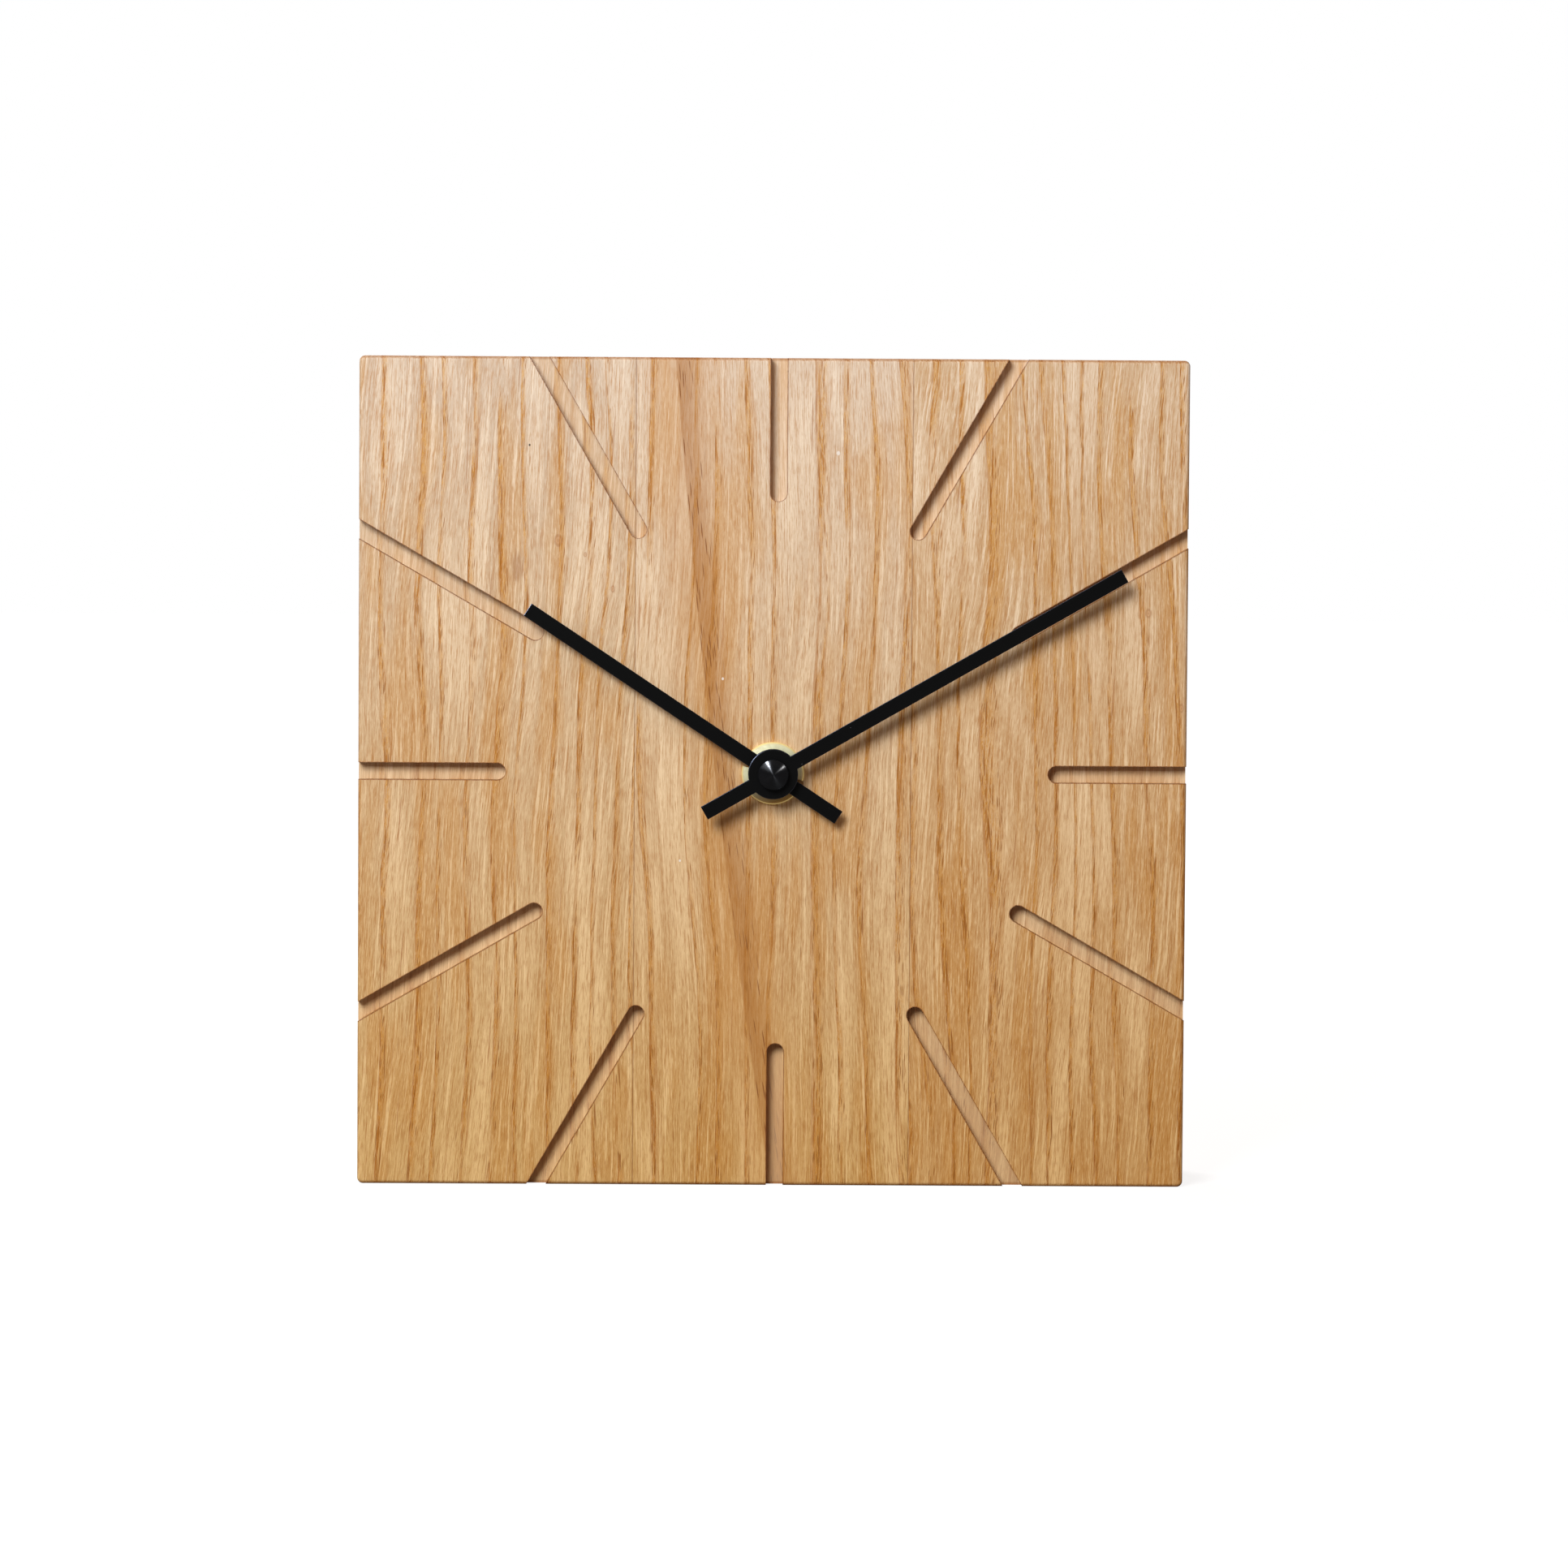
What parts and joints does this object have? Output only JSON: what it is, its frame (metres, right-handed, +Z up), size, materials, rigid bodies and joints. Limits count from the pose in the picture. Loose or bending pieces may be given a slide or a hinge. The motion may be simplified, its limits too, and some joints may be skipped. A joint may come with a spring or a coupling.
{
  "type": "wooden desk clock",
  "caption": "Square block desk clock of glued oak staves with milled radial hour grooves, black bar hands and a battery quartz movement in a recess at the back.",
  "frame": {"origin": "middle of the block's flat bottom face, on which the clock stands", "axes": "+X to the right as the clock is read, +Y from the front face to the back, +Z up"},
  "size_m": [0.2, 0.0503, 0.2],
  "materials": {
    "oak": "fine sanded, clear matt oil",
    "black_rubber": "matt",
    "brass": "turned, lightly polished",
    "black_hands": "matt black coat",
    "black_nut": "satin black coat, turned",
    "black_moulding": "fine spark texture",
    "white_moulding": "smooth",
    "natural_moulding": "smooth",
    "bobbin_moulding": "smooth",
    "soft_iron": "stamped",
    "enamelled_wire": "enamelled copper winding",
    "board_laminate": "solder resist",
    "black_resin": "cast drop",
    "tinned_can": "bright",
    "cell_jacket": "plain printed jacket without text",
    "contact_steel": "nickel plated",
    "steel_arbor": "turned",
    "magnet": "sintered"
  },
  "bodies": {
    "root": {"stave_left": "oak", "stave_middle": "oak", "stave_right": "oak", "rubber_gasket": "black_rubber", "threaded_bush": "brass", "slotted_nut": "brass", "movement_case": "black_moulding", "rear_cover": "black_moulding", "train_plate": "white_moulding", "stator_plate": "soft_iron", "coil_core": "soft_iron", "coil_bobbin": "bobbin_moulding", "coil_winding": "enamelled_wire", "circuit_board": "board_laminate", "clock_chip": "black_resin", "quartz_crystal": "tinned_can", "battery_cell": "cell_jacket", "plus_contact": "contact_steel", "minus_contact": "contact_steel"},
    "minute": {"minute_arbor": "steel_arbor", "clutch_spring": "contact_steel", "minute_hand": "black_hands", "cap_nut": "black_nut"},
    "hour": {"hour_wheel": "natural_moulding", "hour_hand": "black_hands"},
    "motion": {"motion_wheel": "natural_moulding"},
    "setting": {"setting_arbor": "natural_moulding", "setting_knob": "black_moulding"},
    "rotor": {"rotor_pinion": "natural_moulding", "rotor_magnet": "magnet"},
    "fifth": {"fifth_wheel": "natural_moulding"},
    "seconds": {"seconds_wheel": "natural_moulding"},
    "third": {"third_wheel": "natural_moulding"},
    "centre": {"centre_wheel": "natural_moulding"}
  },
  "joints": [
    {"name": "minute_turn", "type": "hinge", "parent": "root", "child": "minute", "pos_m": [0, 0, 0.1], "axis": [0, 1, 0], "continuous": true},
    {"name": "hour_turn", "type": "hinge", "parent": "root", "child": "hour", "pos_m": [0, -0.0081, 0.1], "axis": [0, 1, 0], "continuous": true},
    {"name": "motion_turn", "type": "hinge", "parent": "root", "child": "motion", "pos_m": [-0.0072, -0.0068, 0.1], "axis": [0, 1, 0], "continuous": true},
    {"name": "setting_turn", "type": "hinge", "parent": "root", "child": "setting", "pos_m": [-0.0144, -0.0068, 0.1], "axis": [0, 1, 0], "continuous": true},
    {"name": "rotor_turn", "type": "hinge", "parent": "root", "child": "rotor", "pos_m": [0.01652, 0.0009, 0.11698], "axis": [0, 1, 0], "continuous": true},
    {"name": "fifth_turn", "type": "hinge", "parent": "root", "child": "fifth", "pos_m": [0.01352, 0.0003, 0.11178], "axis": [0, 1, 0], "continuous": true},
    {"name": "seconds_turn", "type": "hinge", "parent": "root", "child": "seconds", "pos_m": [0.01473, -0.001, 0.10489], "axis": [0, 1, 0], "continuous": true},
    {"name": "third_turn", "type": "hinge", "parent": "root", "child": "third", "pos_m": [0.00636, -0.0023, 0.10636], "axis": [0, 1, 0], "continuous": true},
    {"name": "centre_turn", "type": "hinge", "parent": "root", "child": "centre", "pos_m": [0, -0.0036, 0.1], "axis": [0, 1, 0], "continuous": true}
  ],
  "couplings": [
    {"joint": "hour_turn", "follows": "minute_turn", "ratio": 0.083333},
    {"joint": "motion_turn", "follows": "minute_turn", "ratio": -0.33333},
    {"joint": "setting_turn", "follows": "minute_turn", "ratio": 1},
    {"joint": "fifth_turn", "follows": "rotor_turn", "ratio": -0.2},
    {"joint": "seconds_turn", "follows": "rotor_turn", "ratio": 0.033333},
    {"joint": "third_turn", "follows": "rotor_turn", "ratio": -0.0044444},
    {"joint": "centre_turn", "follows": "rotor_turn", "ratio": 0.00055556}
  ]
}
